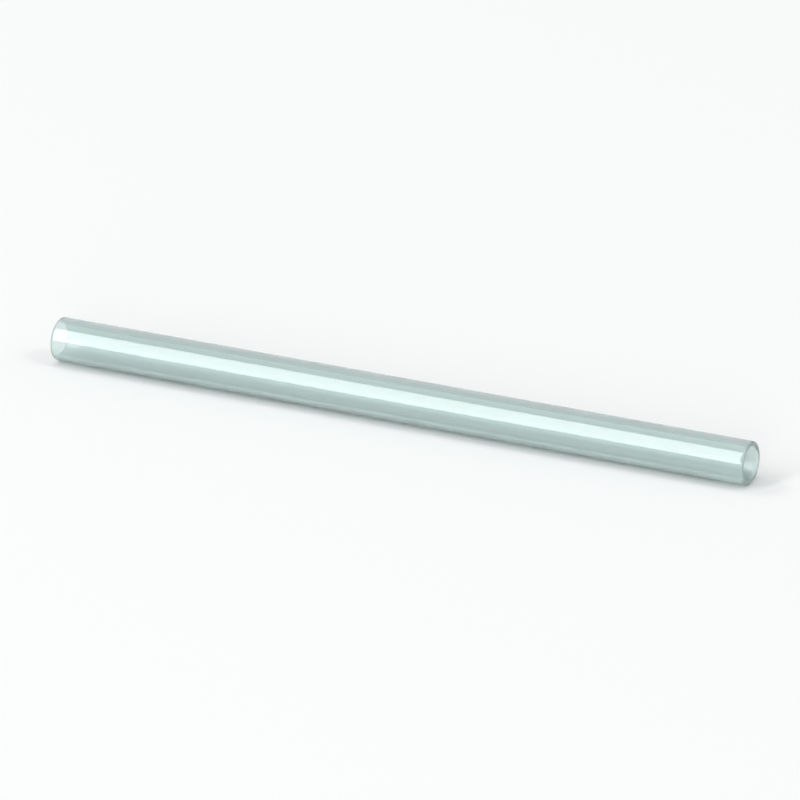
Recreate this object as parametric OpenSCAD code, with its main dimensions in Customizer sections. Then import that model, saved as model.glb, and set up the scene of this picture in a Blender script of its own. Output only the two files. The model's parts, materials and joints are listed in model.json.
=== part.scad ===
// Disposable glass capillary tube, end-to-end type: a plain length of round glass tubing
// whose bore holds exactly its nominal volume when it is filled from one tip to the other.
// It lies on its side along X, its lowest line on Z = 0, centred on the origin.

/* [Capacity] */
// Volume held from tip to tip, in cubic millimetres (microlitres)
capacity = 50; // [10:5:100]

/* [Tube] */
// Length from tip to tip
tube_l = 32; // [25:1:75]
// Thickness of the glass wall
wall = 0.23; // [0.15:0.01:0.5]

/* [Hidden] */
// Fire polishing melts each cut end into a full round as wide as the wall.
rim_r = wall / 2;
// The bore is the width that gives the capacity over the whole length.
bore_r = sqrt(capacity / (PI * tube_l));
outer_r = bore_r + wall;
round_fn = 96;
rim_fn = 32;

// Half section of the wall: radius across, length up, a round rim at each end.
module wall_section() {
    translate([bore_r, rim_r])
        square([wall, tube_l - 2 * rim_r]);
    for (rim_y = [rim_r, tube_l - rim_r])
        translate([bore_r + rim_r, rim_y])
            circle(r = rim_r, $fn = rim_fn);
}

module capillary_tube() {
    color("#c3dad7", 0.5)
        translate([-tube_l / 2, 0, outer_r])
            rotate([0, 90, 0])
                rotate_extrude($fn = round_fn)
                    wall_section();
}

capillary_tube();
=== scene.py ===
"""The looks of a glass capillary tube: one piece of drawn glass, and a plain studio stage.

The tube is modelled as a glassworker would describe it: the half section of its wall, with each end
melted to a full round, turned about the bore's axis. It lies on the floor along X.
"""

import json
import math

import bpy
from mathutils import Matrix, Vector


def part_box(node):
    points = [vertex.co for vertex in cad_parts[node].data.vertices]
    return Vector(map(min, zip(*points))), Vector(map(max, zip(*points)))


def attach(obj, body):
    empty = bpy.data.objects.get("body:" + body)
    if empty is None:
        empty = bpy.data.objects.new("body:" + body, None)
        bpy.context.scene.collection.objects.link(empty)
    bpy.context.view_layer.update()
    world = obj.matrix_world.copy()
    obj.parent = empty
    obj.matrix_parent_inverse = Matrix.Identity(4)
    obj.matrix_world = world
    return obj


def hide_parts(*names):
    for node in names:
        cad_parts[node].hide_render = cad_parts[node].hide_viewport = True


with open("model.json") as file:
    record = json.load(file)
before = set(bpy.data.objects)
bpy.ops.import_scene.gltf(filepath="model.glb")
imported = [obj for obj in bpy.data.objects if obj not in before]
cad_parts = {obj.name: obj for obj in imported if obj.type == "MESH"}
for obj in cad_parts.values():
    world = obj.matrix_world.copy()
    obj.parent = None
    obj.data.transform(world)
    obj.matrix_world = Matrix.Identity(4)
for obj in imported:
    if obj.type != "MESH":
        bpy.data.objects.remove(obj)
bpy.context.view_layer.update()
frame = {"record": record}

bl_info = {
    "name": "Glass Capillary Tube",
    "version": (1, 0, 0),
    "blender": (4, 5, 0),
    "location": "View3D > Sidebar > Capillary",
    "description": "Models a fire-polished glass capillary tube and the stage it is shown on",
    "category": "Add Mesh",
}

# The tube is modelled with one Blender unit to the millimetre, where the bevel and merge
# distances are comfortable, and is brought down to metres as its last step.
MM = 0.001

# Points nearer to each other than this, in millimetres, are merged into one.
MERGE_DISTANCE = 0.0005

# The bevel profile that is an arc of a circle.
ROUND_PROFILE = 0.5

CAD_NODE = "capillary_tube"
CAD_LOW, CAD_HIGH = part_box(CAD_NODE)
MOUNTS = {mount["name"]: mount for mount in frame["record"]["mounts"]}
BORE_R = MOUNTS["bore"]["dims"]["r_mm"]
OUTER_R = MOUNTS["outer_wall"]["dims"]["r_mm"]
AXIS_Z = MOUNTS["bore"]["pos_m"][2] / MM
TUBE_L = (CAD_HIGH.x - CAD_LOW.x) / MM


def linear(hex_colour):
    """An sRGB hex colour as linear red, green and blue."""
    channels = [int(hex_colour[i : i + 2], 16) / 255 for i in (1, 3, 5)]
    return tuple(c / 12.92 if c <= 0.04045 else ((c + 0.055) / 1.055) ** 2.4 for c in channels)


# --- Settings -----------------------------------------------------------------------------------


class CapillaryTubeSizes(bpy.types.PropertyGroup):
    """Sizes of the tube, in millimetres as it is modelled"""

    length: bpy.props.FloatProperty(
        name="Length", description="Tip to tip, in millimetres", default=TUBE_L, min=5
    )
    outer_radius: bpy.props.FloatProperty(
        name="Outer Radius", description="Axis to the outside of the wall, in millimetres", default=OUTER_R
    )
    bore_radius: bpy.props.FloatProperty(
        name="Bore Radius", description="Axis to the inside of the wall, in millimetres", default=BORE_R
    )
    axis_height: bpy.props.FloatProperty(
        name="Axis Height", description="Floor to the tube's axis, in millimetres", default=AXIS_Z
    )
    rim_steps: bpy.props.IntProperty(
        name="Rim Steps", description="Steps round each quarter of a melted rim", default=20, min=4
    )
    rim_margin: bpy.props.FloatProperty(
        name="Rim Margin", description="Narrow ring of wall beside each rim, in millimetres", default=0.04
    )
    rings: bpy.props.IntProperty(
        name="Rings", description="Rings that the straight wall is cut into", default=16, min=1
    )
    turn_steps: bpy.props.IntProperty(
        name="Turn Steps", description="Steps once round the tube", default=320, min=32
    )


class CapillaryGlassLook(bpy.types.PropertyGroup):
    """Colour and finish of the glass"""

    tint: bpy.props.FloatVectorProperty(
        name="Tint",
        description="Colour that the glass gives to light at each surface",
        subtype="COLOR",
        default=linear("#E4F2F0"),
        min=0,
        max=1,
    )
    ior: bpy.props.FloatProperty(name="IOR", description="Index of refraction of the glass", default=1.52)
    clearness: bpy.props.FloatProperty(
        name="Clearness",
        description="Share of the light that passes the surface; the rest is scattered as a pale haze",
        default=0.75,
        min=0,
        max=1,
    )
    line_spacing: bpy.props.FloatProperty(
        name="Line Spacing", description="Between neighbouring draw lines, in millimetres", default=0.25
    )
    line_length: bpy.props.FloatProperty(
        name="Line Length", description="How far a draw line runs, in millimetres", default=60.0
    )
    line_depth: bpy.props.FloatProperty(
        name="Line Depth", description="Height of the draw lines, in millimetres", default=0.006
    )
    ripple_size: bpy.props.FloatProperty(
        name="Ripple Size", description="Width of a ripple on a melted rim, in millimetres", default=0.4
    )
    ripple_depth: bpy.props.FloatProperty(
        name="Ripple Depth", description="Height of a melted rim's ripples, in millimetres", default=0.003
    )
    shade: bpy.props.FloatProperty(
        name="Shade", description="How much lighter or darker than the rest a line is", default=0.07
    )


class CapillaryStageLook(bpy.types.PropertyGroup):
    """Camera, lights and floor"""

    azimuth: bpy.props.FloatProperty(
        name="Azimuth",
        description="Camera's turn round the tube from its long side",
        default=math.radians(25.8),
        subtype="ANGLE",
    )
    elevation: bpy.props.FloatProperty(
        name="Elevation",
        description="Camera's height above the horizon",
        default=math.radians(22),
        subtype="ANGLE",
    )
    distance: bpy.props.FloatProperty(
        name="Distance", description="Camera to the middle of the tube", default=0.4, unit="LENGTH"
    )
    lens: bpy.props.FloatProperty(name="Lens", description="Focal length in millimetres", default=432.0)
    floor_width: bpy.props.FloatProperty(
        name="Floor Width", description="Side of the square floor", default=6.0, unit="LENGTH"
    )
    floor_colour: bpy.props.FloatVectorProperty(
        name="Floor Colour",
        description="Colour of the matt floor",
        subtype="COLOR",
        default=linear("#FAFAFA"),
        min=0,
        max=1,
    )
    surround_colour: bpy.props.FloatVectorProperty(
        name="Surround Colour",
        description="Colour of the studio all round, which fills the shadows",
        subtype="COLOR",
        default=linear("#C7C9C9"),
        min=0,
        max=1,
    )
    key_radiance: bpy.props.FloatProperty(
        name="Key Radiance", description="Radiance of the high softbox in front of the tube", default=5.3
    )
    fill_radiance: bpy.props.FloatProperty(
        name="Fill Radiance", description="Radiance of the low softbox in front of the tube", default=6.0
    )
    overhead_radiance: bpy.props.FloatProperty(
        name="Overhead Radiance", description="Radiance of each softbox above the tube", default=4.0
    )


# --- Materials ----------------------------------------------------------------------------------


def add_node(tree, kind, settings=None, links=None):
    """Adds a node, sets its properties or input values, and links its inputs to other nodes' outputs."""
    node = tree.nodes.new(kind)
    for name, value in (settings or {}).items():
        if name in node.inputs:
            node.inputs[name].default_value = value
        else:
            setattr(node, name, value)
    for name, output in (links or {}).items():
        tree.links.new(output, node.inputs[name])
    return node


def new_material(name):
    """An empty node material, with its node tree and its output node."""
    material = bpy.data.materials.new(name)
    material.use_nodes = True
    tree = material.node_tree
    tree.nodes.clear()
    return material, tree, add_node(tree, "ShaderNodeOutputMaterial")


def soda_lime_glass(name, look, waves, depth):
    """Clear soda-lime glass: a pale green-grey, with sharp white lines where it mirrors a light.

    Its surface is uneven in waves of the given sizes along X, Y and Z, of the given depth, in millimetres.
    The tint lies on the surface only. With a tint inside the glass as well, light that enters by one finish
    and leaves by the other would go on being dimmed, and the rims would turn dark.
    """
    material, tree, output = new_material(name)
    coordinates = add_node(tree, "ShaderNodeTexCoord")
    places = add_node(
        tree,
        "ShaderNodeMapping",
        {"Scale": [1 / (wave * MM) for wave in waves]},
        {"Vector": coordinates.outputs["Object"]},
    )
    noise = add_node(
        tree, "ShaderNodeTexNoise", {"Scale": 1.0, "Detail": 2.0}, {"Vector": places.outputs["Vector"]}
    )
    bump = add_node(tree, "ShaderNodeBump", {"Distance": depth * MM}, {"Height": noise.outputs["Fac"]})
    # The noise keeps mostly between 0.3 and 0.7, which is spread over the whole range of shades.
    shades = add_node(
        tree,
        "ShaderNodeMapRange",
        {"From Min": 0.3, "From Max": 0.7, "To Min": 1 - look.shade, "To Max": 1 + look.shade},
        {"Value": noise.outputs["Fac"]},
    )
    tint = add_node(
        tree, "ShaderNodeHueSaturation", {"Color": (*look.tint, 1)}, {"Value": shades.outputs["Result"]}
    )
    glass = add_node(
        tree,
        "ShaderNodeBsdfPrincipled",
        {"Roughness": 0.0, "IOR": look.ior, "Transmission Weight": look.clearness},
        {"Base Color": tint.outputs["Color"], "Normal": bump.outputs["Normal"]},
    )
    tree.links.new(glass.outputs["BSDF"], output.inputs["Surface"])
    return material


def drawn_glass(look):
    """The wall as it was drawn: its fine lines run the length of the tube and read as faint streaks.

    Real draw lines are well under a thousandth of a millimetre high and a few hundredths apart. They are
    drawn higher and wider apart here, so that they show.
    """
    waves = (look.line_length, look.line_spacing, look.line_spacing)
    return soda_lime_glass("drawn_soda_lime_glass", look, waves, look.line_depth)


def fire_polished_glass(look):
    """The cut edge melted round in a flame: gently rippled, it reads as a soft ring round the open bore."""
    waves = (look.ripple_size, look.ripple_size, look.ripple_size)
    return soda_lime_glass("fire_polished_soda_lime_glass", look, waves, look.ripple_depth)


def matt_board(colour):
    """Matt card laid flat: an even pale grey with no gloss."""
    material, tree, output = new_material("matt_board")
    board = add_node(
        tree,
        "ShaderNodeBsdfPrincipled",
        {"Base Color": (*colour, 1), "Roughness": 0.9, "Specular IOR Level": 0.1},
    )
    tree.links.new(board.outputs["BSDF"], output.inputs["Surface"])
    return material


# --- Tube ---------------------------------------------------------------------------------------


def deselect_objects():
    """Leaves no object selected, so that the next operator acts on its own work only."""
    for obj in bpy.context.selected_objects:
        obj.select_set(False)


def wall_outline(sizes):
    """Adds the half section of the wall beside the axis, rounds its ends and keeps its outline only."""
    wall = sizes.outer_radius - sizes.bore_radius
    middle = (sizes.outer_radius + sizes.bore_radius) / 2
    bpy.ops.mesh.primitive_plane_add(size=1, location=(0, middle, sizes.axis_height))
    tube = bpy.context.object
    tube.scale = (sizes.length, wall, 1)
    bpy.ops.object.transform_apply(location=True, rotation=True, scale=True)
    bpy.ops.object.mode_set(mode="EDIT")
    bpy.ops.mesh.select_all(action="SELECT")
    bpy.ops.mesh.bevel(
        affect="VERTICES",
        offset=wall / 2,
        segments=sizes.rim_steps,
        profile=ROUND_PROFILE,
        clamp_overlap=False,
    )
    bpy.ops.mesh.select_all(action="SELECT")
    bpy.ops.mesh.delete(type="ONLY_FACE")
    return tube


def half_straight(sizes):
    """Half the length of the straight wall, which ends where each rim's round begins."""
    return (sizes.length - (sizes.outer_radius - sizes.bore_radius)) / 2


def ring_places(sizes):
    """Where the straight wall is cut: close beside each rim, which keeps its shading, and between."""
    beside_rim = half_straight(sizes) - sizes.rim_margin
    return [beside_rim * (2 * i / sizes.rings - 1) for i in range(sizes.rings + 1)]


def select_rims(sizes):
    """Selects the melted rims in edit mode: the faces past the straight wall's ends."""
    bpy.ops.mesh.select_mode(type="FACE")
    bpy.ops.mesh.select_all(action="DESELECT")
    bpy.ops.object.mode_set(mode="OBJECT")
    for face in bpy.context.object.data.polygons:
        face.select = abs(face.center.x) > half_straight(sizes)
    bpy.ops.object.mode_set(mode="EDIT")


def spin_tube(sizes, wall_glass, rim_glass):
    """The whole tube: the wall's outline cut at its rings and turned once round the axis."""
    tube = wall_outline(sizes)
    tube.data.materials.append(wall_glass)
    tube.data.materials.append(rim_glass)
    for x in ring_places(sizes):
        bpy.ops.mesh.select_all(action="SELECT")
        bpy.ops.mesh.bisect(plane_co=(x, 0, 0), plane_no=(1, 0, 0))
    bpy.ops.mesh.select_all(action="SELECT")
    bpy.ops.mesh.remove_doubles(threshold=MERGE_DISTANCE)
    bpy.ops.mesh.select_all(action="SELECT")
    bpy.ops.mesh.spin(
        steps=sizes.turn_steps, angle=2 * math.pi, center=(0, 0, sizes.axis_height), axis=(1, 0, 0)
    )
    bpy.ops.mesh.select_all(action="SELECT")
    bpy.ops.mesh.remove_doubles(threshold=MERGE_DISTANCE)
    bpy.ops.mesh.normals_make_consistent(inside=False)
    select_rims(sizes)
    tube.active_material_index = tube.data.materials.find(rim_glass.name)
    bpy.ops.object.material_slot_assign()
    bpy.ops.object.mode_set(mode="OBJECT")
    tube.scale = (MM, MM, MM)
    bpy.ops.object.transform_apply(location=True, rotation=True, scale=True)
    bpy.ops.object.shade_smooth()
    return tube


class MESH_OT_capillary_tube_add(bpy.types.Operator):
    """Model the glass tube in place of its plain construction solid"""

    bl_idname = "mesh.capillary_tube_add"
    bl_label = "Add Glass Tube"

    def execute(self, context):
        deselect_objects()
        look = context.scene.capillary_glass
        tube = spin_tube(context.scene.capillary_sizes, drawn_glass(look), fire_polished_glass(look))
        tube.name = tube.data.name = "glass_tube"
        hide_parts(CAD_NODE)
        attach(tube, "root")
        return {"FINISHED"}


# --- Stage --------------------------------------------------------------------------------------


def direction(azimuth, elevation):
    """Unit vector from the tube towards a place round it: azimuth 0 is at -Y, and 90 degrees at +X."""
    return Vector(
        (
            math.sin(azimuth) * math.cos(elevation),
            -math.cos(azimuth) * math.cos(elevation),
            math.sin(elevation),
        )
    )


def add_camera(stage):
    """A long lens that looks at the middle of the tube."""
    lens = bpy.data.cameras.new("studio_camera")
    lens.lens = stage.lens
    camera = bpy.data.objects.new("studio_camera", lens)
    bpy.context.scene.collection.objects.link(camera)
    back = direction(stage.azimuth, stage.elevation)
    target = Vector((0, 0, AXIS_Z * MM))
    camera.location = target + back * stage.distance
    camera.rotation_euler = back.to_track_quat("Z", "Y").to_euler()
    bpy.context.scene.camera = camera


def add_softbox(name, place, width, height, radiance):
    """A rectangular soft light that faces the tube's axis square on, with its width along the axis.

    The place, width and height are in metres.
    """
    light = bpy.data.lights.new(name, "AREA")
    light.shape = "RECTANGLE"
    light.size = width
    light.size_y = height
    # A flat light's power is its radiance times its area times pi.
    light.energy = radiance * math.pi * width * height
    softbox = bpy.data.objects.new(name, light)
    bpy.context.scene.collection.objects.link(softbox)
    softbox.location = place
    softbox.rotation_euler = Vector((0, place[1], place[2])).to_track_quat("Z", "Y").to_euler()


def add_softboxes(stage):
    """The five soft lights: a key and a fill in front of the tube, and three above it.

    A straight tube mirrors a light only towards places at the mirror angle along its axis. The key gives
    the broad white line that the camera sees. Each light above gives a narrow one: the left and right ones
    towards either slant, the top one square on. The fill stands low on the camera's side, where it lightens
    the tube's lower half and its shadow, and where the camera doesn't see its line.
    """
    key = stage.key_radiance
    fill = stage.fill_radiance
    above = stage.overhead_radiance
    add_softbox("key_softbox", place=(-0.355, -0.56, 0.48), width=0.17, height=0.92, radiance=key)
    add_softbox("fill_softbox", place=(0.3, -0.76, 0.14), width=0.3, height=0.3, radiance=fill)
    add_softbox("left_softbox", place=(-0.8, 0.0, 0.87), width=0.4, height=0.35, radiance=above)
    add_softbox("top_softbox", place=(0.0, 0.0, 0.87), width=0.14, height=0.35, radiance=above)
    add_softbox("right_softbox", place=(0.8, 0.0, 0.87), width=0.4, height=0.35, radiance=above)


def add_floor(stage):
    """A wide matt board under the tube."""
    deselect_objects()
    bpy.ops.mesh.primitive_plane_add(size=stage.floor_width)
    floor = bpy.context.object
    floor.name = "floor"
    floor.data.materials.append(matt_board(stage.floor_colour))


def set_surround(stage):
    """The studio all round, as one even pale colour."""
    world = bpy.data.worlds.new("studio_surround")
    world.use_nodes = True
    world.node_tree.nodes["Background"].inputs["Color"].default_value = (*stage.surround_colour, 1)
    bpy.context.scene.world = world


class SCENE_OT_capillary_stage_add(bpy.types.Operator):
    """Add the floor, the soft lights, the surround and the camera"""

    bl_idname = "scene.capillary_stage_add"
    bl_label = "Add Stage"

    def execute(self, context):
        stage = context.scene.capillary_stage
        add_floor(stage)
        set_surround(stage)
        add_softboxes(stage)
        add_camera(stage)
        context.scene.view_settings.view_transform = "Standard"
        return {"FINISHED"}


# --- Panel and registration ---------------------------------------------------------------------


class VIEW3D_PT_capillary(bpy.types.Panel):
    """Sizes and looks of the capillary tube"""

    bl_label = "Capillary Tube"
    bl_space_type = "VIEW_3D"
    bl_region_type = "UI"
    bl_category = "Capillary"

    def draw(self, context):
        for settings in SETTINGS:
            group = getattr(context.scene, settings)
            box = self.layout.box()
            for name in group.bl_rna.properties.keys():
                if name not in {"name", "rna_type"}:
                    box.prop(group, name)
        self.layout.operator(MESH_OT_capillary_tube_add.bl_idname)
        self.layout.operator(SCENE_OT_capillary_stage_add.bl_idname)


CLASSES = (
    CapillaryTubeSizes,
    CapillaryGlassLook,
    CapillaryStageLook,
    MESH_OT_capillary_tube_add,
    SCENE_OT_capillary_stage_add,
    VIEW3D_PT_capillary,
)
SETTINGS = {
    "capillary_sizes": CapillaryTubeSizes,
    "capillary_glass": CapillaryGlassLook,
    "capillary_stage": CapillaryStageLook,
}


def register():
    """Registers the classes and hangs their settings on the scene."""
    for cls in CLASSES:
        bpy.utils.register_class(cls)
    for name, group in SETTINGS.items():
        setattr(bpy.types.Scene, name, bpy.props.PointerProperty(type=group))


def unregister():
    """Takes the settings and the classes away again."""
    for name in SETTINGS:
        delattr(bpy.types.Scene, name)
    for cls in reversed(CLASSES):
        bpy.utils.unregister_class(cls)


def main():
    """Makes the tube and its stage."""
    register()
    bpy.ops.mesh.capillary_tube_add()
    bpy.ops.scene.capillary_stage_add()


if __name__ == "__main__":
    main()
